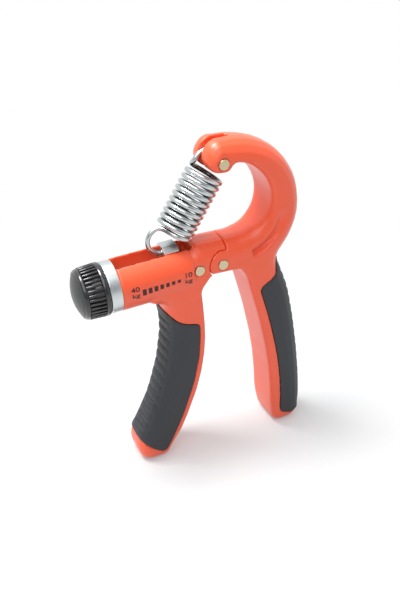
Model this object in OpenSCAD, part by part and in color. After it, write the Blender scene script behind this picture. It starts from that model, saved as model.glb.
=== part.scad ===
// Adjustable hand grip strengthener: two moulded handles hinged on a pin, held open
// by a tension spring whose lower end rides on a nut that a knob draws along a barrel.
// X runs from the knob towards the rear leg, Z is up, Y is across the handles.
// The origin is on the floor, in the middle of the strengthener's footprint. The lists and
// formulas below place things from a point on the floor straight below the hinge pin.

/* [Handles] */
// Thickness of both moulded handles, across the side faces
body_w = 21; // [20:0.5:23]
// Distance from the middle of the footprint to the hinge pin's axis
hinge_x = 8.9; // [6:0.1:12]
// Height of the hinge pin's axis above the floor
hinge_z = 103.1; // [98:0.1:108]
// Rounding along the inner edges of the mouldings
edge_r = 2; // [1:0.1:2.4]
// Rounding along the outer edge of the C-shaped hook
hook_r = 7; // [4:0.5:7.5]
// Rounding of the hook's outer edge over its crown
crown_r = 8.5; // [5:0.5:8.5]
// Rounding of the top of both handles where they meet above the hinge
saddle_r = 8; // [5:0.5:8]
// Rounding along the outer edge of the legs and their grip pads
leg_r = 8.5; // [6:0.5:9]
// How far the grip pads stand proud of the mouldings
pad_proud = 0.4; // [0.2:0.1:0.6]
// Thickness of the spine that each grip pad is moulded over
spine_w = 8; // [6:0.5:10]

/* [Hinge] */
// Radius of the hinge cheeks around the hinge pin
cheek_r = 6.5; // [6:0.1:6.6]
// Width of the middle tongue of the front handle
tongue_w = 12; // [10:0.5:13]
// Clearance all round the hinge cheeks
hinge_gap = 0.3; // [0.2:0.05:0.4]
// Diameter of the three cross pins
pin_d = 4.8; // [4.4:0.1:5.2]
// Clearance on diameter between a pin and the part that turns on it
pin_gap = 0.1; // [0.05:0.05:0.15]
// How far the pin heads stand proud of the side faces
pin_proud = 0.3; // [0.1:0.1:0.6]
// Distance from the hinge pin to the screw's stop pin
stop_pin_x = 11.6; // [11:0.1:12.4]
// Depth of the stop pin's axis below the hinge pin's
stop_pin_drop = 0.6; // [0.3:0.1:1]

/* [Barrel] */
// Outer diameter of the barrel
barrel_d = 23.8; // [22:0.2:25]
// Distance along the barrel from the hinge pin to its open end
barrel_end = 48.3; // [45:0.1:52]
// Slope of the barrel, down towards the knob, in degrees
barrel_tilt = 4.3; // [3:0.1:5.5]
// Height of the barrel's axis below the hinge pin
barrel_drop = 0.7; // [0.3:0.1:1.2]
// Width of the slot along the top of the barrel
slot_w = 10.4; // [9.6:0.2:11]
// Distance along the barrel from the hinge pin to the slot's closed end
slot_start = 12.1; // [11.6:0.1:13]

/* [Adjuster] */
// Length of the zinc collar between the barrel and the knob
collar_l = 5.2; // [4:0.2:6.5]
// Outer diameter of the knob
knob_d = 24.4; // [24:0.2:27]
// Length of the knob, without its cap
knob_l = 11.6; // [10:0.2:12.6]
// Height of the domed cap
cap_h = 2.6; // [2:0.2:4.6]
// Number of grip ribs round the knob
rib_count = 36; // [24:2:44]
// Major diameter of the adjusting screw
screw_d = 6; // [5:0.5:7]
// Lead of the screw's thread
screw_lead = 1.25; // [1:0.05:1.5]
// Distance along the barrel from the hinge pin to the middle of the nut
nut_s = 22; // [21.4:0.1:23]
// Length of the slider nut along the barrel
nut_l = 7; // [6.6:0.1:8]
// Height of the spring's hook above the barrel's axis, where it passes through the nut
hook_h = 9.3; // [9:0.1:10]
// Height of the nut's boss above the barrel's axis
nut_top = 13.2; // [12.6:0.1:13.8]

/* [Spring] */
// Outer diameter of the spring
spring_d = 17.8; // [17:0.1:18.6]
// Diameter of the spring wire
wire_d = 2.2; // [1.9:0.05:2.25]
// Number of curls between the hooks
curls = 11; // [9:1:11]
// Reach from the last curl to the middle of the anchor pin
hook_reach = 6.6; // [6:0.1:7]
// Radius of the open loop that hooks into the nut
loop_r = 6.2; // [5.6:0.1:6.4]

/* [Hidden] */
drawn_z = 103.1;
fine = 72;
round_free = 99;

// ---- outlines -------------------------------------------------------------
// An outline is a list of corners [x, z, radius, fillet], anticlockwise, drawn with the
// hinge pin at drawn_z. Each corner is rounded by its radius, or by as much as its two sides
// allow, and the edge there is rounded on both side faces by its fillet, which passes evenly
// into those of the corners beside it.

function unit(v) = v / norm(v);
function turned(d) = [d[1], -d[0]];

// Height of a corner: the legs stretch with the hinge's height, and what is above it moves with it
function height(z) = z < drawn_z ? z * hinge_z / drawn_z : z - drawn_z + hinge_z;
function xz(c) = [c[0], height(c[1])];

// Rounded corner as samples [centre x, centre z, signed radius, normal x, normal z, fillet]
function corner_samples(before, c, after, step) =
    let (
        d1 = unit(xz(c) - xz(before)),
        d2 = unit(xz(after) - xz(c)),
        turn = atan2(cross(d1, d2), d1 * d2),
        reach = 0.49 * min(norm(xz(c) - xz(before)), norm(xz(after) - xz(c))),
        r = min(c[2], reach / max(tan(abs(turn) / 2), 0.0001)),
        side = turn < 0 ? -1 : 1,
        most = side < 0 ? round_free : r - 0.1,
        centre = xz(c) - r * tan(abs(turn) / 2) * d1 - side * r * turned(d1),
        n = max(1, ceil(abs(turn) / (r < 1.5 ? 3 * step : step))),
        a1 = atan2(-d1[0], d1[1])
    )
    [for (i = [0:n])
        let (a = a1 + turn * i / n, fillet = (before[3] * (1 - i / n) + c[3] + after[3] * i / n) / 2)
        [centre[0], centre[1], side * r, cos(a), sin(a), min(fillet, most)]];

function samples(outline, step = 10) =
    let (n = len(outline))
    [for (i = [0:n - 1])
        each corner_samples(outline[(i + n - 1) % n], outline[i], outline[(i + 1) % n], step)];

function inset(s, d) = [s[0] + (s[2] - d) * s[3], s[1] + (s[2] - d) * s[4]];
function flat_points(outline, step = 10) = [for (s = samples(outline, step)) inset(s, 0)];

// Triangles that fill an anticlockwise loop of points, cut off ear by ear
function encloses(a, b, c, p) =
    cross(b - a, p - a) >= 0 && cross(c - b, p - b) >= 0 && cross(a - c, p - c) >= 0;
function is_ear(points, i, j, k, loop) =
    cross(points[j] - points[i], points[k] - points[i]) > 0
    && len([for (m = loop) if (m != i && m != j && m != k
        && encloses(points[i], points[j], points[k], points[m])) m]) == 0;
function next_ear(points, loop, at, tries) =
    let (n = len(loop), j = at % n)
    tries == 0 || is_ear(points, loop[(j + n - 1) % n], loop[j], loop[(j + 1) % n], loop)
        ? j : next_ear(points, loop, at + 1, tries - 1);
function fill(points, loop, at = 0) =
    len(loop) < 4 ? [loop] :
    let (n = len(loop), j = next_ear(points, loop, at, n))
    concat([[loop[(j + n - 1) % n], loop[j], loop[(j + 1) % n]]],
        fill(points, [for (k = [0:n - 1]) if (k != j) loop[k]], j + 1));

// A moulding: the outline at full thickness, with its edges rounded by each corner's fillet.
// With grow, every face of it moves outwards by that much.
module moulding(outline, width, grow = 0, steps = 4) {
    s = samples(outline);
    n = len(s);
    half = width / 2;
    rings = [
        for (k = [0:steps]) [-1, 90 - 90 * k / steps],
        for (k = [0:steps]) [1, 90 * k / steps]];
    points = [
        for (ring = rings) for (q = s)
            let (p = inset(q, q[5] * (1 - cos(ring[1])) - grow * cos(ring[1])))
            [p[0], ring[0] * (half - q[5] + (q[5] + grow) * sin(ring[1])), p[1]]];
    last = len(rings) - 1;
    walls = [
        for (k = [0:last - 1]) for (i = [0:n - 1])
            let (a = k * n + i, b = k * n + (i + 1) % n)
            each [[a, b, b + n], [a, b + n, a + n]]];
    face = fill([for (i = [0:n - 1]) [points[i][0], points[i][2]]], [for (i = [0:n - 1]) i]);
    polyhedron(
        points = points,
        faces = concat([for (t = face) [t[2], t[1], t[0]]], walls, [for (t = face) t + last * [n, n, n]]),
        convexity = 8);
}

// Colours a piece and moves it from the hinge's place to the object's own origin
module piece(shade) {
    color(shade) translate([hinge_x, 0, 0]) children();
}

// A flat plate of the given width across the handles
module plate(points, width) {
    rotate([90, 0, 0]) linear_extrude(width, center = true) polygon(points);
}

// A round bar or hole across the handles
module cross_bar(d, length, x, z) {
    translate([x, 0, z]) rotate([90, 0, 0]) cylinder(d = d, h = length, center = true, $fn = fine);
}

// ---- shared places --------------------------------------------------------
anchor_x = -0.5;
anchor_z = hinge_z + 46.8;
stop_pin_z = hinge_z - stop_pin_drop;
window_z = drawn_z - 4.2;
seam_x = 1.9;
hook_slot_w = wire_d + 1.6;
shoulder_r = cheek_r + hinge_gap;
tongue_r = cheek_r - hinge_gap;
channel_start = stop_pin_x + pin_d / 2 + 0.3;
screw_start = channel_start + 0.3;
barrel_start = stop_pin_x + pin_d / 2 + 0.6;
fork_w = tongue_w + 2 * hinge_gap;

// Outline of the rear handle with its pad, from the foot up to the hook and back; the arm
// runs on past the hinge, where it is cut back to the cheeks
rear_outline = [
    [33.1, 0, 5, 4], [48.4, 0, 7, 6.8], [49.9, 14, round_free, leg_r],
    [48.5, 28, round_free, leg_r], [46, 45, round_free, leg_r], [42.6, 63, round_free, leg_r],
    [38.1, 82, round_free, leg_r], [33.4, 92.6, round_free, leg_r], [29.6, 100, 14, hook_r],
    [35.9, 108.8, 25, hook_r], [39.6, 117.2, 30, hook_r], [40.5, 127.2, 40, hook_r],
    [38.1, 138.8, 40, crown_r], [30.9, 149.6, 40, crown_r], [19.9, 157.1, 40, crown_r],
    [6.5, 159.9, 40, crown_r], [-4.5, 158.9, 9, 7.5], [-8.1, 152.2, 8, 6.5], [-5.2, 146.1, 4.5, 2],
    [2.8, 145.7, 4, 2], [5, 149.6, 4, 2.5], [12.5, 148.3, 20, 2.5],
    [20.5, 141.6, 20, 2.5], [24.8, 133, 20, 2.5], [24.1, 123.8, 20, 3.5],
    [18.1, 116.2, 20, 6], [9.5, 113.9, 20, saddle_r], [seam_x - 12.5, 113.5, 8.4, saddle_r],
    [seam_x - 12.5, window_z, 1.5, 1], [9.1, window_z, 4, edge_r],
    [12.9, 94, round_free, edge_r], [20.7, 69, round_free, edge_r],
    [26.9, 44, round_free, edge_r], [29.3, 25, round_free, edge_r],
    [30.5, 10, round_free, edge_r]];

// Outline of the front handle with its pad; its upper left corners lie inside the barrel,
// and its upper right ones run on past the hinge
front_outline = [
    [-43.8, 8, 10, 6.5], [-41.4, 0, 6, 5.5], [-29.1, 0, 6, 5.5],
    [-22.9, 11.4, round_free, edge_r], [-14.9, 29.6, round_free, edge_r],
    [-9.7, 47.6, round_free, edge_r], [-7.8, 66, round_free, edge_r],
    [-9.1, 82, round_free, edge_r], [-10.3, 92.2, 6, edge_r], [-5.3, window_z - 0.4, 2, 0.8],
    [seam_x + 12, window_z - 0.4, 0.6, 0.4], [seam_x + 12, 113.3, 8.4, saddle_r],
    [-3.5, 114.1, round_free, saddle_r], [-16.1, 112.8, 8, 7.8], [-17.1, 101, 1, 0.6],
    [-36, 99.4, 1, 0.6], [-36.6, 89.8, 6, 5.5], [-28.4, 87, 5, 7],
    [-25.9, 74, round_free, leg_r], [-26.9, 60, round_free, leg_r],
    [-30.3, 44, round_free, leg_r], [-36.5, 26, round_free, leg_r], [-42.1, 15.4, 8, 7]];

// Corners of the seam along which each pad meets its handle, then a turn well outside
rear_seam = [
    [59.5, 4.9, 1, 0], [41.5, 4.9, 5, 0], [35.7, 7.2, 4, 0], [35.1, 24, round_free, 0],
    [31.9, 45, round_free, 0], [26.1, 67, round_free, 0], [19.8, 86.2, 3, 0],
    [28.3, 91.4, 3.4, 0], [29.1, 99.4, 0.8, 0], [59.5, 99.4, 1, 0]];
front_seam = [
    [-60.5, 28, 1, 0], [-37.8, 9, 12, 0], [-30.5, 3.8, 3, 0], [-24.5, 15.8, round_free, 0],
    [-17.3, 33, round_free, 0], [-12.8, 51, round_free, 0], [-11.3, 63, round_free, 0],
    [-11.7, 74.8, 2.4, 0], [-21.5, 77, 14, 0], [-28.5, 84.2, 1, 0], [-60.5, 84.2, 1, 0]];

// ---- rear handle ----------------------------------------------------------
module rear_spine(w) {
    spine = [[37.4, 2], [44.6, 2], [44.6, 22], [41.4, 44], [36.4, 67], [31, 84], [27.8, 96],
        [23.4, 96], [17.4, 86], [23.4, 66], [28.4, 45], [31.8, 24]];
    plate([for (c = spine) xz(c)], w);
}

module rear_frame() {
    piece("orangered") difference() {
        union() {
            difference() {
                moulding(rear_outline, body_w);
                plate(flat_points(rear_seam), 2 * body_w);
                // end of the arm: a straight seam above the two round cheeks
                difference() {
                    translate([-20, -body_w, hinge_z - 10])
                        cube([20 + seam_x + hinge_gap, 2 * body_w, 24]);
                    cross_bar(2 * cheek_r, 2 * body_w + 2, 0, hinge_z);
                }
            }
            rear_spine(spine_w);
        }
        // clevis slot in the tip of the hook
        translate([-10, -hook_slot_w / 2, hinge_z + 34]) cube([15.7, hook_slot_w, 30]);
        cross_bar(pin_d, body_w + 4, anchor_x, anchor_z);
        // fork round the tongue of the front handle
        cross_bar(2 * shoulder_r, fork_w, 0, hinge_z);
        cross_bar(pin_d, body_w + 4, 0, hinge_z);
        // crease that separates the hook from the leg on both faces
        for (side = [-1, 1]) translate([8, side * (body_w / 2 + 0.5), hinge_z + 24.4])
            rotate([90, 0, 0]) rotate([0, 0, -72]) rotate_extrude(angle = 60, $fn = fine)
                translate([23, 0]) circle(r = 2.2, $fn = 24);
    }
}

module rear_grip_pad() {
    piece("dimgray") difference() {
        intersection() {
            moulding(rear_outline, body_w, pad_proud);
            plate(flat_points(rear_seam), 2 * body_w);
        }
        rear_spine(spine_w);
    }
}

// ---- front handle ---------------------------------------------------------
// Places its children on the barrel's axis: Z runs towards the knob and X points up
module on_barrel(s = 0) {
    translate([0, 0, hinge_z - barrel_drop]) rotate([0, -90 - barrel_tilt, 0])
        translate([0, 0, s]) children();
}

module front_spine(w) {
    spine = [[-36.4, 6.5], [-31.8, 4.5], [-24.4, 22], [-17.4, 42], [-14.8, 60], [-14.8, 78],
        [-21, 80], [-21.6, 64], [-24.2, 50], [-28.8, 35], [-36, 20]];
    plate([for (c = spine) xz(c)], w);
}

module front_handle() {
    piece("orangered") difference() {
        union() {
            on_barrel(barrel_start)
                cylinder(d = barrel_d, h = barrel_end - barrel_start, $fn = fine);
            difference() {
                moulding(front_outline, body_w);
                plate(flat_points(front_seam), 2 * body_w);
                // straight seam, and room for the cheeks of the rear handle
                translate([seam_x, -body_w, hinge_z - 10]) cube([20, 2 * body_w, 24]);
                for (side = [-1, 1]) translate([0, side * (body_w + tongue_w) / 2, 0])
                    cross_bar(2 * shoulder_r, body_w, 0, hinge_z);
            }
            front_spine(spine_w);
            cross_bar(2 * tongue_r, tongue_w, 0, hinge_z);
        }
        // channel for the nut, open to the knob end and along the top
        on_barrel(channel_start) {
            cylinder(d = slot_w, h = barrel_end, $fn = fine);
            translate([0, -slot_w / 2, 0]) cube([barrel_d, slot_w, barrel_end]);
        }
        on_barrel(slot_start) translate([screw_d, -slot_w / 2, 0])
            cube([barrel_d, slot_w, barrel_end]);
        cross_bar(pin_d, body_w + 4, -stop_pin_x, stop_pin_z);
        cross_bar(pin_d + pin_gap, body_w + 4, 0, hinge_z);
    }
}

module front_grip_pad() {
    piece("dimgray") difference() {
        intersection() {
            moulding(front_outline, body_w, pad_proud);
            plate(flat_points(front_seam), 2 * body_w);
        }
        front_spine(spine_w);
    }
}

// ---- pins -----------------------------------------------------------------
module pin(x, z) {
    piece("palegoldenrod") cross_bar(pin_d, body_w + 2 * pin_proud, x, z);
}
module hinge_pin() {
    pin(0, hinge_z);
}
module anchor_pin() {
    pin(anchor_x, anchor_z);
}
module stop_pin() {
    pin(-stop_pin_x, stop_pin_z);
}

// ---- adjuster -------------------------------------------------------------
spigot_l = 2.4;
washer_h = 0.8;
clip_h = 0.7;
knob_start = barrel_end + collar_l;
spigot_start = barrel_end - spigot_l;
thread_end = spigot_start - clip_h - 0.4;
lock_nut_h = 3;
lock_nut_start = knob_start + 5.2;
screw_end = lock_nut_start + lock_nut_h - 0.2;
bore_gap = 0.1;
cap_seat = knob_start + knob_l - 1;
cap_r = knob_d / 2 - 1.9;

module ring(outer_d, inner_d, h) {
    difference() {
        cylinder(d = outer_d, h = h, $fn = fine);
        translate([0, 0, -1]) cylinder(d = inner_d, h = h + 2, $fn = fine);
    }
}

// Block that the screw draws along the barrel; its boss takes the spring's hook
module slider_nut() {
    half = slot_w / 2 - 0.25;
    top = half - 2;
    piece("gainsboro") on_barrel(nut_s - nut_l / 2) difference() {
        union() {
            cylinder(r = half, h = nut_l, $fn = fine);
            linear_extrude(nut_l) polygon([
                [0, -half], [nut_top - 2, -half], [nut_top, -top], [nut_top, top],
                [nut_top - 2, half], [0, half]]);
        }
        translate([0, 0, -1]) cylinder(d = screw_d + bore_gap, h = nut_l + 2, $fn = fine);
        translate([hook_h, 0, -1]) cylinder(d = wire_d + 0.5, h = nut_l + 2, $fn = 48);
    }
}

// Screw with its thread as grooves one lead apart, and a plain journal at the knob end
module adjusting_screw() {
    r = screw_d / 2;
    depth = 0.55 * screw_lead;
    turns = floor((thread_end - screw_start - 2) / screw_lead);
    groove_r = r - 0.6;
    piece("silver") on_barrel() rotate_extrude($fn = fine) polygon(concat(
        [[0, screw_start], [r - depth, screw_start]],
        [for (i = [0:turns - 1]) each [
            [r - depth, screw_start + 0.6 + i * screw_lead],
            [r, screw_start + 0.6 + (i + 0.5) * screw_lead]]],
        [[r - depth, screw_start + 0.6 + turns * screw_lead], [r - depth, thread_end],
        [groove_r, thread_end], [groove_r, spigot_start - 0.1], [r, spigot_start - 0.1],
        [r, screw_end], [0, screw_end]]));
}

module screw_clip() {
    piece("dimgray") on_barrel(thread_end + 0.15) ring(slot_w - 1.4, screw_d - 1.2, clip_h);
}

// Ring that closes the barrel, with a spigot in the channel and a bearing for the screw
module barrel_collar() {
    piece("lightgray") on_barrel() difference() {
        union() {
            translate([0, 0, barrel_end])
                rotate_extrude($fn = fine) polygon([[0, 0], [barrel_d / 2 - 0.2, 0],
                    [barrel_d / 2 - 0.1, 0.3], [barrel_d / 2 - 0.1, collar_l - 0.4],
                    [barrel_d / 2 - 0.5, collar_l], [0, collar_l]]);
            translate([0, 0, spigot_start]) cylinder(d = slot_w - 0.2, h = spigot_l + 1, $fn = fine);
        }
        translate([0, 0, spigot_start - 1]) cylinder(d = screw_d + bore_gap, h = 30, $fn = fine);
    }
}

module thrust_washer() {
    piece("silver") on_barrel(knob_start) ring(screw_d * 2, screw_d + bore_gap, washer_h);
}

// Ribbed band: teeth standing out of a circle
function ribbed(r, depth, count) = [
    for (i = [0:count - 1]) for (k = [0:3])
        let (a = 360 / count * (i + [0, 0.16, 0.5, 0.66][k]), q = k == 1 || k == 2 ? r : r - depth)
        [q * cos(a), q * sin(a)]];

module adjuster_knob() {
    r = knob_d / 2;
    rim = 2.2;
    front = 2.4;
    piece("#1c1c1e") on_barrel(knob_start + 0.2) difference() {
        union() {
            rotate_extrude($fn = fine) polygon([[0, 0], [r - 0.5, 0], [r, 0.5], [r, rim - 0.2],
                [r - 0.3, rim], [r - 0.9, rim], [r - 0.9, knob_l - front], [r - 0.6, knob_l - front + 0.2],
                [r - 0.8, knob_l - 0.9], [r - 1.3, knob_l - 0.3], [r - 1.8, knob_l - 0.2],
                [0, knob_l - 0.2]]);
            linear_extrude(knob_l - front + 0.2) polygon(ribbed(r - 0.25, 0.8, rib_count));
        }
        // hollow behind the rim, round the hub
        translate([0, 0, -1]) difference() {
            cylinder(r = r - 2.6, h = 4.6, $fn = fine);
            cylinder(r = screw_d / 2 + 2, h = 4.6, $fn = fine);
        }
        translate([0, 0, -1]) cylinder(d = screw_d * 2 + 0.6, h = 1 + washer_h - 0.2, $fn = fine);
        translate([0, 0, -1]) cylinder(d = screw_d, h = 20, $fn = fine);
        // recess in front for the lock nut, and the seat of the cap
        translate([0, 0, lock_nut_start - knob_start - 0.2]) cylinder(r = 7, h = 10, $fn = fine);
        translate([0, 0, cap_seat - knob_start - 0.2]) cylinder(r = cap_r, h = 5, $fn = fine);
    }
}

module knob_lock_nut() {
    piece("silver") on_barrel(lock_nut_start) difference() {
        cylinder(d = 10 / cos(30), h = lock_nut_h, $fn = 6);
        translate([0, 0, -1]) cylinder(d = screw_d, h = lock_nut_h + 2, $fn = fine);
    }
}

module knob_cap() {
    sphere_r = (cap_r * cap_r + cap_h * cap_h) / (2 * cap_h);
    piece("#2a2a2c") on_barrel(cap_seat) {
        cylinder(r = cap_r, h = 1.2, $fn = fine);
        translate([0, 0, 1.2 - sphere_r + cap_h - 0.2]) intersection() {
            sphere(r = sphere_r, $fn = fine);
            translate([0, 0, sphere_r - cap_h]) cylinder(r = cap_r - 0.2, h = cap_h + 1, $fn = fine);
        }
    }
}

// ---- spring ---------------------------------------------------------------
// A close-wound body between two hooks, in the plane y = 0: the upper hook passes over the
// anchor pin, and the lower one is an open loop whose end runs through the nut.
coil_r = (spring_d - wire_d) / 2;
loop_s = nut_s + nut_l / 2 - 0.7;
function barrel_point(s, h) = [
    -s * cos(barrel_tilt) - h * sin(barrel_tilt),
    hinge_z - barrel_drop - s * sin(barrel_tilt) + h * cos(barrel_tilt)];
loop_centre = barrel_point(loop_s, hook_h + loop_r);
anchor = [anchor_x, anchor_z];
coil_foot = loop_centre + [5.8, 2.4];
axis_dir = unit(anchor - coil_foot);
left_dir = [-axis_dir[1], axis_dir[0]];
pitch = (norm(anchor - coil_foot) - hook_reach) / curls;
coil_head = coil_foot + axis_dir * pitch * curls;
hook_rise = hook_reach + pin_d / 2 + wire_d / 2 + 0.3 - coil_r;

function lift(p, y = 0) = [p[0], y, p[1]];
function ease(u) = u * u * (3 - 2 * u);
function helix(a) = lift(coil_foot + axis_dir * pitch * a / 360 + left_dir * coil_r * cos(a),
    -coil_r * sin(a));
function loop_at(a) = lift(loop_centre + loop_r * [cos(a), sin(a)]);
function arch_at(a) = lift(coil_head + axis_dir * (hook_rise + coil_r * sin(a)) + left_dir * coil_r * cos(a));
function mixed(p, q, u) = p * (1 - ease(u)) + q * ease(u);

// The wire's centre line from the end in the nut to the end past the anchor pin
function wire_path(per_curl) =
    let (quarter = per_curl / 4, bend = per_curl)
    concat(
        [lift(barrel_point(nut_s - nut_l / 2 - 1.5, hook_h)), lift(barrel_point(nut_s, hook_h))],
        [for (i = [0:bend]) loop_at(270 + barrel_tilt - i * (150 + barrel_tilt) / bend)],
        [for (i = [1:quarter * 2 - 1]) let (u = i / quarter / 2)
            mixed(loop_at(120 - 75 * u), helix(90 * u), u)],
        [for (i = [quarter:curls * per_curl - quarter]) helix(360 * i / per_curl)],
        [for (i = [1:quarter * 2 - 1]) let (u = i / quarter / 2)
            mixed(helix(360 * curls - 90 + 90 * u),
                lift(coil_head + left_dir * coil_r + axis_dir * hook_rise * u), u)],
        [for (i = [0:bend / 2]) arch_at(300 * i / bend)]);

// Wire with a ring of points across the path at each of its points
module tube(path, d, sides = 6) {
    n = len(path);
    tangents = [for (i = [0:n - 1]) unit(path[min(i + 1, n - 1)] - path[max(i - 1, 0)])];
    start = unit(cross(tangents[0], [0, 1, 0]));
    normals = [for (i = 0, v = start; i < n;
        i = i + 1, v = i < n ? unit(v - (v * tangents[i]) * tangents[i]) : v) v];
    points = [for (i = [0:n - 1]) for (k = [0:sides - 1])
        let (a = 360 * k / sides, v = unit(normals[i] - (normals[i] * tangents[i]) * tangents[i]))
        path[i] + d / 2 * (cos(a) * v + sin(a) * cross(tangents[i], v))];
    walls = [for (i = [0:n - 2]) for (k = [0:sides - 1])
        let (a = i * sides + k, b = i * sides + (k + 1) % sides)
        each [[a, b + sides, b], [a, a + sides, b + sides]]];
    near = [for (k = [1:sides - 2]) [0, k, k + 1]];
    far = [for (k = [1:sides - 2]) let (e = (n - 1) * sides) [e, e + k + 1, e + k]];
    polyhedron(points = points, faces = concat(near, walls, far), convexity = 10);
}

// Least gap between parts of the wire that lie more than half a curl apart along it
function least_gap(path, d, apart) = min([
    for (i = [0:len(path) - apart - 1]) for (j = [i + apart:len(path) - 1])
        norm(path[i] - path[j])]) - d;

module tension_spring() {
    echo(spring_least_gap = least_gap(wire_path(24), wire_d, 18));
    piece("gainsboro") tube(wire_path(8), wire_d);
}

// ---- assembly -------------------------------------------------------------
rear_frame();
rear_grip_pad();
front_handle();
front_grip_pad();
hinge_pin();
anchor_pin();
stop_pin();
tension_spring();
slider_nut();
adjusting_screw();
screw_clip();
barrel_collar();
thrust_washer();
adjuster_knob();
knob_lock_nut();
knob_cap();
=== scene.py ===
import math

import bmesh
import bpy
from mathutils import Matrix, Vector


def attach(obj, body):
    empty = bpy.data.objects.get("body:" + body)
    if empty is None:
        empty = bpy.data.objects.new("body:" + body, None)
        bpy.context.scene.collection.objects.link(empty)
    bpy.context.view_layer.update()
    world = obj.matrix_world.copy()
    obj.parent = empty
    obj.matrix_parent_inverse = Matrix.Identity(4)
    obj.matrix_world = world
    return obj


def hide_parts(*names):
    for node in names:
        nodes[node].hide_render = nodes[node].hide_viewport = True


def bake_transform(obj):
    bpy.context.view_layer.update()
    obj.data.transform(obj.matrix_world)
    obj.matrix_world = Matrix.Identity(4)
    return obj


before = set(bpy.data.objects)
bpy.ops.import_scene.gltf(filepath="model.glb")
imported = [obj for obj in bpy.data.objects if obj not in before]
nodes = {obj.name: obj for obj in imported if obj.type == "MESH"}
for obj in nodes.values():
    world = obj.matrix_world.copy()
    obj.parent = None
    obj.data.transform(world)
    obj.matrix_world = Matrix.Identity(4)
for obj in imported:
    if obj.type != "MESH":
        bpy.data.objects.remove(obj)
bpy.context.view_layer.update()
mm = 0.001

# ---- Camera -----------------------------------------------------------------------
# It stands at the front left and looks down on the strengthener by thirty degrees.
camera = bpy.data.objects.new("camera", bpy.data.cameras.new("camera"))
bpy.context.scene.collection.objects.link(camera)
camera.data.lens = 42
camera.location = (-0.1188, -0.2604, 0.2469)
camera.rotation_euler = (math.radians(60), 0, math.radians(-24.9))
bpy.context.scene.camera = camera

# ---- Rear handle ------------------------------------------------------------------
# The hook and the rear leg are one injection moulding in glossy orange-red plastic. The
# mould leaves every edge a little round and the skin very slightly uneven.
hinge_x, hinge_z = 8.9, 103.1


class Flow:
    """A value on its way through a material. Sums on it add Math nodes."""

    def __init__(self, tree, socket):
        self.tree, self.socket = tree, socket

    def node(self, kind, settings, values, out=0):
        made = self.tree.nodes.new("ShaderNode" + kind)
        for name, value in settings.items():
            setattr(made, name, value)
        for name, value in values.items():
            if isinstance(value, Flow):
                self.tree.links.new(value.socket, made.inputs[name])
            else:
                made.inputs[name].default_value = value
        return Flow(self.tree, made.outputs[out])

    def math(self, operation, *values):
        return self.node("Math", {"operation": operation}, dict(enumerate(values)))

    def __add__(self, other):
        return self.math("ADD", self, other)

    def __sub__(self, other):
        return self.math("SUBTRACT", self, other)

    def __rsub__(self, other):
        return self.math("SUBTRACT", other, self)

    def __mul__(self, other):
        return self.math("MULTIPLY", self, other)

    __radd__, __rmul__ = __add__, __mul__

    def between(self, low, high):
        return self.node("MapRange", {"interpolation_type": "SMOOTHSTEP"},
                         {"Value": self, "From Min": low, "From Max": high})

    def tint(self, low, high):
        return self.node("Mix", {"data_type": "RGBA"}, {0: self, 6: (*low, 1), 7: (*high, 1)}, out=2)

    def noise(self, scale, detail=2.0):
        return self.node("TexNoise", {}, {"Vector": self, "Scale": scale, "Detail": detail})

    def into(self, shader, socket):
        self.tree.links.new(self.socket, shader.inputs[socket])

    def bump(self, shader, height, strength=1.0):
        values = {"Height": self, "Strength": strength, "Distance": height * mm}
        self.node("Bump", {}, values).into(shader, "Normal")


def finish(name, **fixed):
    """A material with fixed shader values; returns it, its shader and the place on the piece."""
    material = bpy.data.materials.new(name)
    material.use_nodes = True
    tree = material.node_tree
    shader = tree.nodes["Principled BSDF"]
    for socket, value in fixed.items():
        shader.inputs[socket.replace("_", " ")].default_value = value
    return material, shader, Flow(tree, tree.nodes.new("ShaderNodeTexCoord").outputs["Object"])


def clouded(name, clouds, low, high, rough, rougher, **fixed):
    """A finish whose colour and roughness drift together in soft clouds, from low to high."""
    material, shader, place = finish(name, **fixed)
    cloud = place.noise(*clouds)
    cloud.tint(low, high).into(shader, "Base Color")
    (cloud * rougher + rough).into(shader, "Roughness")
    return material, shader, place


orange, shader, place = clouded("orange_moulding", (26, 3), (0.90, 0.086, 0.021), (0.96, 0.106, 0.029),
                                0.34, 0.08, Coat_Roughness=0.42, Coat_Weight=0.6, IOR=1.5)
(place.noise(2600, 2) + place.noise(190, 2) * 2.5).bump(shader, 0.012, 0.6)


def copied(node):
    """The mesh of a CAD node with its loose triangles joined up."""
    shape = bmesh.new()
    shape.from_mesh(nodes[node].data)
    bmesh.ops.remove_doubles(shape, verts=shape.verts, dist=0.002 * mm)
    return shape


def made(name, shape, material, body):
    """A piece of the object from a finished mesh, riding on its body."""
    mesh = bpy.data.meshes.new(name)
    shape.to_mesh(mesh)
    shape.free()
    mesh.polygons.foreach_set("use_smooth", [True] * len(mesh.polygons))
    mesh.materials.append(material)
    thing = bpy.data.objects.new(name, mesh)
    bpy.context.scene.collection.objects.link(thing)
    if body:
        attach(thing, body)
    return thing


def recast(thing, voxel, rounds):
    """Casts a piece again as one even skin, whose edges the mould leaves round."""
    skin = thing.modifiers.new("skin", "REMESH")
    skin.mode, skin.voxel_size, skin.use_smooth_shade = "VOXEL", voxel * mm, True
    soft = thing.modifiers.new("soft", "SMOOTH")
    soft.factor, soft.iterations = 0.5, rounds
    bpy.context.view_layer.update()
    cast = bpy.data.meshes.new_from_object(thing.evaluated_get(bpy.context.evaluated_depsgraph_get()))
    thing.modifiers.clear()
    thing.data = cast
    return thing


rear = recast(made("rear_moulding", copied("rear_frame"), orange, "frame"), 0.5, 5)


def held(value):
    """The value, kept between 0 and 1."""
    return min(max(value, 0), 1)


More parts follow.
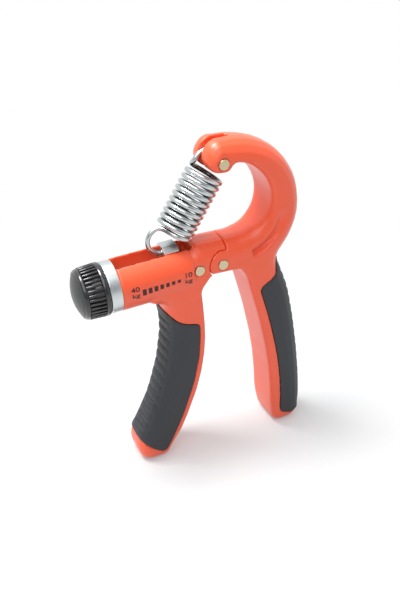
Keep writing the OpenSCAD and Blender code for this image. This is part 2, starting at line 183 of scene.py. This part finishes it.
# The crease between hook and leg, on both side faces, is an arc. It is deepest near its round
# foot, and fades towards its upper end.
crease_x, crease_z, crease_r, crease_w = hinge_x + 8, hinge_z + 24.4, 23, 4.2
crease_foot, crease_top = -77, -6
skin = bmesh.new()
skin.from_mesh(rear.data)
crease = []
for vertex in skin.verts:
    across, up = vertex.co.x / mm - crease_x, vertex.co.z / mm - crease_z
    angle, off_line = math.degrees(math.atan2(up, across)), abs(math.hypot(across, up) - crease_r)
    if crease_foot < angle < crease_top and off_line < crease_w / 2 + 1.1:
        deeper = 1.2 * held(1 - (off_line / (crease_w / 2)) ** 2)
        deeper *= held((angle - crease_foot - 4) / 6) * held((-28 - angle) / 30)
        vertex.co.y -= math.copysign(deeper * mm, vertex.co.y)
        crease.append((angle, vertex))
for begin, end, rounds in ((crease_foot, -68, 4), (-44, crease_top, 8), (-36, crease_top, 10),
                           (-28, crease_top, 14), (-20, crease_top, 40)):
    along = [vertex for angle, vertex in crease if begin < angle < end]
    for step in range(rounds):
        bmesh.ops.smooth_vert(skin, verts=along, factor=0.5, use_axis_x=True, use_axis_y=True,
                              use_axis_z=True)
skin.to_mesh(rear.data)
skin.free()
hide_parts("rear_frame")

# ---- Rear grip pad ----------------------------------------------------------------
# Soft black rubber moulded over the back of the leg, a little proud of the plastic. Shallow
# grooves cross its back, where the palm presses.
rubber, shader, place = clouded("grip_rubber", (60, 4), (0.020, 0.022, 0.027), (0.032, 0.034, 0.040),
                                0.46, 0.16, IOR=1.5)
(place.noise(3400, 3) + place.noise(700, 2) * 0.6).bump(shader, 0.03, 0.7)


def grooved(pad, edge, pitch=5.1, depth=0.9, near=2.5, far=7.0, plain=6.0):
    """Presses grooves across a pad's outer edge. They fade from near to far off its middle line."""
    edge = [Vector(corner) for corner in edge]
    runs, whole = [], 0
    for a, b in zip(edge, edge[1:]):
        runs.append((a, (b - a).normalized(), (b - a).length, whole))
        whole += (b - a).length
    outward = [vertex.normal.copy() for vertex in pad.data.vertices]
    for vertex, normal in zip(pad.data.vertices, outward):
        spot = vertex.co.xz / mm - Vector((hinge_x, 0))
        nearest = []
        for start, along, length, begun in runs:
            step = min(max((spot - start) @ along, 0), length)
            nearest.append(((spot - start - along * step).length, begun + step))
        off_edge, down = min(nearest)
        fade = held((far - abs(vertex.co.y) / mm) / (far - near)) * held(4 - off_edge)
        fade *= held(down - plain) * held(whole - plain - down)
        groove = (1 - math.sin(math.pi * (down / pitch % 1))) ** 2
        vertex.co -= normal * depth * mm * groove * fade
    pad.data.update()


rear_pad = recast(made("rear_grip", copied("rear_grip_pad"), rubber, "frame"), 0.4, 8)
grooved(rear_pad, [(29.6, 100), (33.4, 92.6), (38.1, 82), (42.6, 63), (46, 45), (48.5, 28), (49.9, 14)],
        near=4.5, far=9.0)
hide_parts("rear_grip_pad")

# ---- Front handle -----------------------------------------------------------------
# The slotted barrel, the front leg and the round tongue of the hinge are the second
# moulding, in the same orange plastic.
barrel = (Matrix.Translation(Vector((hinge_x, 0, hinge_z - 0.7)) * mm)
          @ Matrix.Rotation(math.radians(-94.3), 4, "Y"))
front = recast(made("front_moulding", copied("front_handle"), orange, "front"), 0.5, 5)
channel_end, channel_r, nut_room = 14.5, 8.0, 0.4
for vertex in front.data.vertices:
    # The channel's inner end keeps its square corner, and so leaves room for the nut.
    spot = barrel.inverted() @ vertex.co / mm
    end_wall = held(spot.z - channel_end + 2) * held(channel_end + 2 - spot.z)
    end_wall *= held((channel_r + 1.5 - spot.xy.length) / 1.5)
    vertex.co -= barrel.to_3x3() @ Vector((0, 0, nut_room * mm)) * end_wall
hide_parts("front_handle")

# ---- Front grip pad ---------------------------------------------------------------
# The same rubber over the front of the other leg. Its grooves are deeper, where the
# fingers hold.
front_pad = recast(made("front_grip", copied("front_grip_pad"), rubber, "front"), 0.4, 8)
grooved(front_pad, [(-28.4, 87), (-25.9, 74), (-26.9, 60), (-30.3, 44), (-36.5, 26), (-42.1, 15.4),
                    (-43.1, 9)], depth=1.3, near=3.2, far=7.6)
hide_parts("front_grip_pad")

# ---- Printed scale ----------------------------------------------------------------
# Pad-printed in dark ink on the barrel's side: seven bars that grow with the force, between
# the smallest and the greatest setting.
ink, shader, place = clouded("scale_ink", (900, 3), (0.030, 0.006, 0.006), (0.075, 0.014, 0.012),
                             0.4, 0.2, IOR=1.45)
bars, bar_start, bar_pitch, text_h = 7, -38.7, 2.72, 3.1
barrel_r = 11.9 * mm


def printed(shape):
    """Lays flat artwork, drawn with X along the barrel and Y up, onto the barrel's round side."""
    for row in range(-10, 11):
        everything = shape.verts[:] + shape.edges[:] + shape.faces[:]
        bmesh.ops.bisect_plane(shape, geom=everything, dist=1e-7, plane_co=(0, row * 0.4 * mm, 0),
                               plane_no=(0, 1, 0))
    for vertex in shape.verts:
        along, up = vertex.co.x, vertex.co.y
        out = math.sqrt(barrel_r ** 2 - up ** 2) + 0.03 * mm
        vertex.co = barrel @ Vector((up, -out, -along))
    return shape


def lettering(text, size, along, up):
    """Flat figures of a plain typeface, a little wider than usual."""
    curve = bpy.data.curves.new("figures", "FONT")
    curve.body, curve.size, curve.align_x = text, size * mm, "CENTER"
    curve.offset = 0.05 * mm
    letters = bpy.data.objects.new("figures", curve)
    bpy.context.scene.collection.objects.link(letters)
    bpy.context.view_layer.update()
    mesh = bpy.data.meshes.new_from_object(letters.evaluated_get(bpy.context.evaluated_depsgraph_get()))
    bpy.data.objects.remove(letters)
    mesh.transform(Matrix.Translation((along * mm, up * mm, 0)) @ Matrix.Diagonal((1.3, 1, 1, 1)))
    return mesh


scale = bmesh.new()
for text, along, up in (("40", -42.7, 0.6), ("kg", -42.7, -2.3), ("10", -17.9, 0.5), ("kg", -17.9, -2.4)):
    scale.from_mesh(lettering(text, text_h, along, up))
for bar in range(bars):
    middle = Matrix.Translation(((bar_start + bar * bar_pitch) * mm, (bar * 0.1 - 0.7) * mm, 0))
    bmesh.ops.create_grid(scale, x_segments=1, y_segments=1, size=0.5 * mm,
                          matrix=middle @ Matrix.Diagonal((1.8 - bar * 0.05, text_h - bar * 0.27, 1, 1)))
marks = made("scale_print", printed(scale), ink, "front")

# ---- Cross pins -------------------------------------------------------------------
# Three steel pins with a yellowish zinc finish, pressed through both side faces: the hinge
# pin, the pin that holds the spring, and the one that stops the screw.
pin_zinc, shader, place = clouded("yellow_zinc", (1400, 3), (0.52, 0.43, 0.26), (0.70, 0.61, 0.42),
                                  0.30, 0.2, Metallic=1.0)
place.noise(2400, 2).bump(shader, 0.02, 0.4)


def machined(name, node, material, body, edge):
    """A turned or cut metal piece: the CAD shape with its sharp edges broken."""
    shape = copied(node)
    bmesh.ops.dissolve_limit(shape, angle_limit=math.radians(0.5), verts=shape.verts, edges=shape.edges)
    sharp = [e for e in shape.edges if len(e.link_faces) == 2 and e.calc_face_angle() > math.radians(35)]
    bmesh.ops.bevel(shape, geom=sharp, offset=edge * mm, offset_type="OFFSET", affect="EDGES",
                    segments=2, profile=0.5, material=-1, clamp_overlap=True)
    thing = made(name, shape, material, body)
    smooth = thing.modifiers.new("even", "WEIGHTED_NORMAL")
    smooth.keep_sharp = True
    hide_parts(node)
    return thing


machined("hinge_rivet", "hinge_pin", pin_zinc, "frame", 0.3)
machined("anchor_rivet", "anchor_pin", pin_zinc, "frame", 0.3)
machined("stop_rivet", "stop_pin", pin_zinc, "front", 0.3)

# ---- Screw and nut ----------------------------------------------------------------
# A zinc-plated screw lies in the barrel's channel. It draws a steel nut along, whose boss
# stands up through the slot and holds the spring.
zinc, shader, place = clouded("bright_zinc", (500, 3), (0.52, 0.56, 0.57), (0.66, 0.69, 0.69),
                              0.24, 0.10, Metallic=1.0)
place.noise(700, 2).bump(shader, 0.006, 0.3)

machined("sliding_nut", "slider_nut", zinc, "nut", 0.25)


def ordered(shape):
    """Puts the faces in one fixed order, because a spin leaves them in another one each run."""
    shape.verts.index_update()
    faces = sorted(shape.faces, key=lambda face: sorted(vertex.index for vertex in face.verts))
    rank = {face: number for number, face in enumerate(faces)}
    shape.faces.sort(key=rank.get)


def turned(shape, profile, steps=96):
    """Spins a profile of (radius, length) corners round the Z axis."""
    corners = [shape.verts.new((r * mm, 0, z * mm)) for r, z in profile]
    edges = [shape.edges.new(pair) for pair in zip(corners, corners[1:])]
    bmesh.ops.spin(shape, geom=corners + edges, cent=(0, 0, 0), axis=(0, 0, 1), angle=math.tau,
                   steps=steps, use_merge=True)
    bmesh.ops.remove_doubles(shape, verts=shape.verts, dist=0.001 * mm)
    bmesh.ops.recalc_face_normals(shape, faces=shape.faces)
    ordered(shape)


def on_barrel(shape):
    """Turns a piece made upright to lie along the barrel, towards the knob."""
    bmesh.ops.transform(shape, matrix=barrel, verts=shape.verts)
    return shape


screw_start, thread_end, screw_end, lead, turns, per_turn = 14.6, 44.8, 61.5, 1.25, 22.5, 32
screw = bmesh.new()
turned(screw, [(0, screw_start), (2.0, screw_start), (2.35, screw_start + 0.35), (2.35, thread_end),
               (2.4, thread_end + 0.1), (2.4, 45.8), (3.0, 45.9), (3.0, screw_end - 0.4),
               (2.6, screw_end), (0, screw_end)], 48)
ridge = [screw.verts.new((r * mm, 0, (screw_start + 0.5 + z) * mm))
         for r, z in ((2.2, 0.0), (2.95, 0.42), (2.95, 0.52), (2.2, 0.94))]
loop = [screw.edges.new((ridge[i], ridge[(i + 1) % 4])) for i in range(4)]
spun = bmesh.ops.spin(screw, geom=ridge + loop, cent=(0, 0, 0), axis=(0, 0, 1), angle=math.tau * turns,
                      steps=int(turns * per_turn), dvec=(0, 0, lead * mm / per_turn))
ridge_end = [v for v in spun["geom_last"] if isinstance(v, bmesh.types.BMVert)]
bmesh.ops.contextual_create(screw, geom=ridge)
bmesh.ops.contextual_create(screw, geom=ridge_end)
bmesh.ops.recalc_face_normals(screw, faces=screw.faces)
ordered(screw)
screw = made("threaded_screw", on_barrel(screw), zinc, "knob")
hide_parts("adjusting_screw")

blackened, shader, place = clouded("blackened_steel", (1200, 3), (0.05, 0.05, 0.055), (0.10, 0.10, 0.11),
                                   0.35, 0.2, Metallic=0.8)
nodes["screw_clip"].data.materials.clear()
nodes["screw_clip"].data.materials.append(blackened)

# ---- Barrel collar ----------------------------------------------------------------
# A turned ring closes the end of the barrel and carries the screw and its washer.
satin, shader, place = clouded("turned_alloy", (500, 3), (0.56, 0.60, 0.61), (0.66, 0.70, 0.70),
                               0.30, 0.12, Metallic=1.0, IOR=1.5)
lathe = place.node("TexWave", {"wave_type": "BANDS", "bands_direction": "X"},
                   {"Vector": place, "Scale": 900, "Distortion": 0.4, "Detail": 1})
lathe.bump(shader, 0.004, 0.5)
machined("barrel_ring", "barrel_collar", satin, "front", 0.2)
for hidden in ("thrust_washer", "knob_lock_nut"):
    nodes[hidden].data.materials.clear()
    nodes[hidden].data.materials.append(zinc)

# ---- Adjuster knob ----------------------------------------------------------------
# Glossy black plastic with rounded ribs round it, a plain rim behind and a smooth shoulder
# in front, hollow round its hub.
gloss, shader, place = clouded("glossy_black", (120, 3), (0.012, 0.012, 0.014), (0.022, 0.022, 0.024),
                               0.20, 0.10, Coat_Weight=0.5, Coat_Roughness=0.06, IOR=1.5)
place.noise(300, 2).bump(shader, 0.01, 0.4)

knob_start, knob_l, knob_r, rim, shoulder, ribs = 53.7, 11.4, 12.2, 2.2, 9.1, 36
rib_l, rib_h, rib_w, rib_round = shoulder - rim + 0.2, 1.35, 1.05, 0.36
hub = [(3.05, 0.8), (5.0, 0.8), (5.0, 0), (5.45, 0), (5.6, 3.6), (9.5, 3.6), (9.7, 0.1), (9.9, 0)]
back_rim = [(knob_r - 0.5, 0), (knob_r - 0.15, 0.15), (knob_r, 0.5), (knob_r, rim - 0.3),
            (knob_r - 0.15, rim - 0.1), (knob_r - 1.0, rim)]
grip = [(knob_r - 1.2, rim + 0.2), (knob_r - 1.7, shoulder - 0.2), (knob_r - 1.5, shoulder)]
front_rim = [(knob_r - 0.85, shoulder + 0.1), (knob_r - 0.7, shoulder + 0.3),
             (knob_r - 0.75, shoulder + 0.9), (knob_r - 1.0, shoulder + 1.5),
             (knob_r - 1.4, knob_l - 0.25), (knob_r - 1.75, knob_l)]
cap_seat_ring = [(knob_r - 1.9, knob_l), (knob_r - 1.95, knob_l - 0.9), (7.0, knob_l - 0.9), (7.0, 5.0),
                 (3.05, 5.0), (3.05, 0.8)]
knob = bmesh.new()
turned(knob, hub + back_rim + grip + front_rim + cap_seat_ring, 144)
for rib in range(ribs):
    seat = (Matrix.Rotation(math.tau * rib / ribs, 4, "Z")
            @ Matrix.Translation(Vector((knob_r - 0.95, 0, (rim + shoulder) / 2)) * mm)
            @ Matrix.Rotation(math.radians(-3.5), 4, "Y"))
    block = bmesh.ops.create_cube(knob, size=mm, matrix=seat @ Matrix.Diagonal((rib_h, rib_w, rib_l, 1)))
    corners = {edge for vertex in block["verts"] for edge in vertex.link_edges}
    bmesh.ops.bevel(knob, geom=list(corners), offset=rib_round * mm, offset_type="OFFSET", affect="EDGES",
                    segments=2, profile=0.5, material=-1, clamp_overlap=True)
on_barrel(knob)
bmesh.ops.transform(knob, matrix=Matrix.Translation(barrel.to_3x3() @ Vector((0, 0, knob_start * mm))),
                    verts=knob.verts)
knob = made("ribbed_knob", knob, gloss, "knob")
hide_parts("adjuster_knob")

# ---- Knob cap ---------------------------------------------------------------------
# A domed cap snaps into the front of the knob and covers its lock nut.
satin_black, shader, place = clouded("satin_black", (160, 3), (0.024, 0.025, 0.025), (0.036, 0.038, 0.037),
                                     0.30, 0.08, IOR=1.5)
place.noise(900, 2).bump(shader, 0.008, 0.4)

cap_seat, cap_r, cap_h = 64.1, 10.3, 2.6
dome_r = (cap_r ** 2 + cap_h ** 2) / (2 * cap_h)
reach = math.asin((cap_r - 0.35) / dome_r)
dome_z, rings = cap_seat + 1.0 + cap_h - dome_r, 14
angles = [reach * (1 - ring / rings) for ring in range(rings + 1)]
cap = bmesh.new()
turned(cap, [(0, cap_seat), (cap_r - 0.1, cap_seat), (cap_r - 0.1, cap_seat + 0.9)]
       + [(dome_r * math.sin(a), dome_z + dome_r * math.cos(a)) for a in angles])
cap = made("domed_cap", on_barrel(cap), satin_black, "knob")
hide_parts("knob_cap")

# ---- Tension spring ---------------------------------------------------------------
# Hard-drawn wire with a bright zinc finish, wound close, with a hook over the pin in the
# rear handle and an open loop whose end runs through the nut's boss.
wire_d, coil_r, curls, loop_r, hook_h, nut_s, nut_l = 2.2, 7.8, 11, 6.2, 9.3, 22, 7


def barrel_point(s, h):
    """The place s along the barrel and h above its middle line, seen from the side."""
    spot = barrel @ Vector((h * mm, 0, s * mm))
    return spot.xz / mm


def ease(u):
    """From 0 to 1 with a slow start and a slow end."""
    return u * u * (3 - 2 * u)


def lifted(spot, y=0.0):
    """A place or direction of the side view, in the round."""
    return Vector((spot.x, y, spot.y))


loop_centre = barrel_point(nut_s + nut_l / 2 - 0.7, hook_h + loop_r)
anchor = Vector((hinge_x - 0.5, hinge_z + 46.8))
foot = loop_centre + Vector((5.8, 2.4))
axis = (anchor - foot).normalized()
left = Vector((-axis.y, axis.x))
pitch = ((anchor - foot).length - 6.6) / curls
head = foot + axis * pitch * curls
rise = 6.6 + 2.4 + wire_d / 2 + 0.3 - coil_r


def helix(a):
    return lifted(foot + axis * pitch * a / math.tau + left * coil_r * math.cos(a), -coil_r * math.sin(a))


def loop_at(a):
    return lifted(loop_centre + loop_r * Vector((math.cos(a), math.sin(a))))


def arch_at(a):
    return lifted(head + axis * (rise + coil_r * math.sin(a)) + left * coil_r * math.cos(a))


per_curl, quarter, passing = 36, 9, 18
tilt = math.radians(4.3)
lower = [lifted(barrel_point(nut_s - nut_l / 2 - 1.5, hook_h)), lifted(barrel_point(nut_s, hook_h))]
for step in range(per_curl + 1):
    lower.append(loop_at(math.radians(270) + tilt - (math.radians(150) + tilt) * step / per_curl))
for u in (step / passing for step in range(1, passing)):
    lower.append(loop_at(math.radians(120 - 75 * u)).lerp(helix(math.radians(90) * u), ease(u)))
# The curls are made in two lengths, which meet at joint. A very short last step on each side of
# it sets both end faces square to the wire.
joint, last = 4 * per_curl + quarter, curls * per_curl - quarter
lower_steps = (*range(quarter, joint), joint - 0.1, joint)
upper_steps = (joint, joint + 0.1, *range(joint + 1, last + 1))
lower += [helix(math.tau * step / per_curl) for step in lower_steps]
upper = [helix(math.tau * step / per_curl) for step in upper_steps]
for u in (step / passing for step in range(1, passing)):
    leaving = helix(math.tau * curls + math.radians(90 * u - 90))
    upper.append(leaving.lerp(lifted(head + left * coil_r + axis * rise * u), ease(u)))
upper += [arch_at(math.radians(150) * step / 24) for step in range(25)]


def wound(name, points):
    """A round wire along points, closed at both ends."""
    line = bpy.data.curves.new(name, "CURVE")
    line.dimensions, line.use_fill_caps = "3D", True
    line.bevel_depth, line.bevel_resolution = wire_d / 2 * mm, 6
    spline = line.splines.new("POLY")
    spline.points.add(len(points) - 1)
    for knot, spot in zip(spline.points, points):
        knot.co = (*(spot * mm), 1)
    wire = bpy.data.objects.new(name, line)
    bpy.context.scene.collection.objects.link(wire)
    bpy.context.view_layer.update()
    solid = wire.evaluated_get(bpy.context.evaluated_depsgraph_get())
    shape = bmesh.new()
    shape.from_mesh(bpy.data.meshes.new_from_object(solid))
    bpy.data.objects.remove(wire)
    bmesh.ops.remove_doubles(shape, verts=shape.verts, dist=0.001 * mm)
    bmesh.ops.recalc_face_normals(shape, faces=shape.faces)
    spring = made(name, shape, wire_zinc, None)
    for face in spring.data.polygons:
        face.use_smooth = len(face.vertices) < 5
    return spring


# The coil's inner side is painted a dull dark tint: painted shade, which stands for the shade between the
# curls.
wire_zinc, shader, place = finish("wire_zinc", Metallic=1.0)
spots = place.noise(400, 2)
coil_axis, coil_l = tuple(lifted(axis)), (head - foot).length
from_foot = place.node("VectorMath", {"operation": "SUBTRACT"}, {0: place, 1: tuple(lifted(foot) * mm)})
up_coil = place.node("VectorMath", {"operation": "DOT_PRODUCT"}, {0: from_foot, 1: coil_axis}, out="Value")
across = place.node("VectorMath", {"operation": "CROSS_PRODUCT"}, {0: from_foot, 1: coil_axis})
reach = place.node("VectorMath", {"operation": "LENGTH"}, {0: across}, out="Value")
# Mask of the coil's inner side, where the painted shade goes.
painted_shade_inside = 1 - reach.between((coil_r - 0.5) * mm, (coil_r + 0.3) * mm)
painted_shade_inside = painted_shade_inside * up_coil.between(-1 * mm, 1 * mm) * (1 - up_coil.between(coil_l * mm, (coil_l + 2) * mm))
polished = spots.tint((0.50, 0.54, 0.55), (0.60, 0.63, 0.63))
# The zinc colour, painted dark on the coil's inner side as painted shade.
zinc_with_painted_shade = place.node("Mix", {"data_type": "RGBA"}, {0: painted_shade_inside, 6: polished, 7: (0.13, 0.14, 0.15, 1)}, out=2)
zinc_with_painted_shade.into(shader, "Base Color")
(spots * 0.04 + 0.22).into(shader, "Roughness")

hook_end, foot_end = wound("spring_curls", upper), wound("spring_foot", lower)
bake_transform(hook_end)
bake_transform(foot_end)
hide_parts("tension_spring")
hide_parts("tension_spring")

# ---- Floor and light --------------------------------------------------------------
# A white studio sweep: the floor is plain white, and keeps the strengthener's soft shadow.
floor_shape = bmesh.new()
bmesh.ops.create_grid(floor_shape, x_segments=1, y_segments=1, size=5)
floor_finish, shader, place = finish("studio_floor", Base_Color=(0.52, 0.525, 0.53, 1), Roughness=0.8,
                                     Specular_IOR_Level=0.2)


def seen_in(tree):
    """1 for what the camera sees, straight or in metal and glass, else 0; and the camera's own rays."""
    rays = tree.nodes.new("ShaderNodeLightPath")
    straight = Flow(tree, rays.outputs["Is Camera Ray"])
    either = straight + Flow(tree, rays.outputs["Is Glossy Ray"])
    either = either + Flow(tree, rays.outputs["Is Transmission Ray"])
    return either.math("MINIMUM", either, 1.0), straight


tree = floor_finish.node_tree
seen, straight = seen_in(tree)
away = place.node("VectorMath", {"operation": "LENGTH"}, {0: place}, out="Value")
lift = place.node("Emission", {}, {"Color": (1, 1, 1, 1), "Strength": 0.22})
white = place.node("Emission", {}, {"Color": (1, 1, 1, 1), "Strength": 1.0})
lit = place.node("AddShader", {}, {0: Flow(tree, shader.outputs[0]), 1: lift})
pale = place.node("MixShader", {}, {0: away.between(0.10, 0.34), 1: lit, 2: white})
shown = place.node("MixShader", {}, {0: seen, 1: Flow(tree, shader.outputs[0]), 2: pale})
tree.links.new(shown.socket, tree.nodes["Material Output"].inputs["Surface"])
floor = made("floor", floor_shape, floor_finish, None)

world = bpy.data.worlds.new("studio")
bpy.context.scene.world = world
world.use_nodes = True
sky = world.node_tree
background = sky.nodes["Background"]
seen, straight = seen_in(sky)
(seen * 0.22 + 0.78).into(background, "Strength")
# Everything but the camera meets a dimmer room on one side, behind the camera.
dark_side = (-0.38, -0.82, 0.42)
ray = Flow(sky, sky.nodes.new("ShaderNodeTexCoord").outputs["Generated"])
behind = ray.node("VectorMath", {"operation": "DOT_PRODUCT"}, {0: ray, 1: dark_side}, out="Value")
dim = behind.between(0.25, 0.85) * (1 - straight)
dim.tint((1, 1, 1), (0.30, 0.31, 0.33)).into(background, "Color")


def softbox(name, spot, size, power, target=(0, 0, 0.08)):
    """A square lamp that looks at the middle of the strengthener."""
    lamp = bpy.data.lights.new(name, "AREA")
    lamp.shape, lamp.size, lamp.energy = "SQUARE", size, power
    box = bpy.data.objects.new(name, lamp)
    bpy.context.scene.collection.objects.link(box)
    box.location = spot
    box.rotation_euler = (Vector(target) - Vector(spot)).to_track_quat("-Z", "Y").to_euler()


softbox("key", (-0.26, 0.14, 0.85), 0.32, 8.8)
softbox("front", (-0.30, -0.42, 0.70), 0.6, 3.0)

bpy.context.scene.view_settings.view_transform = "Standard"
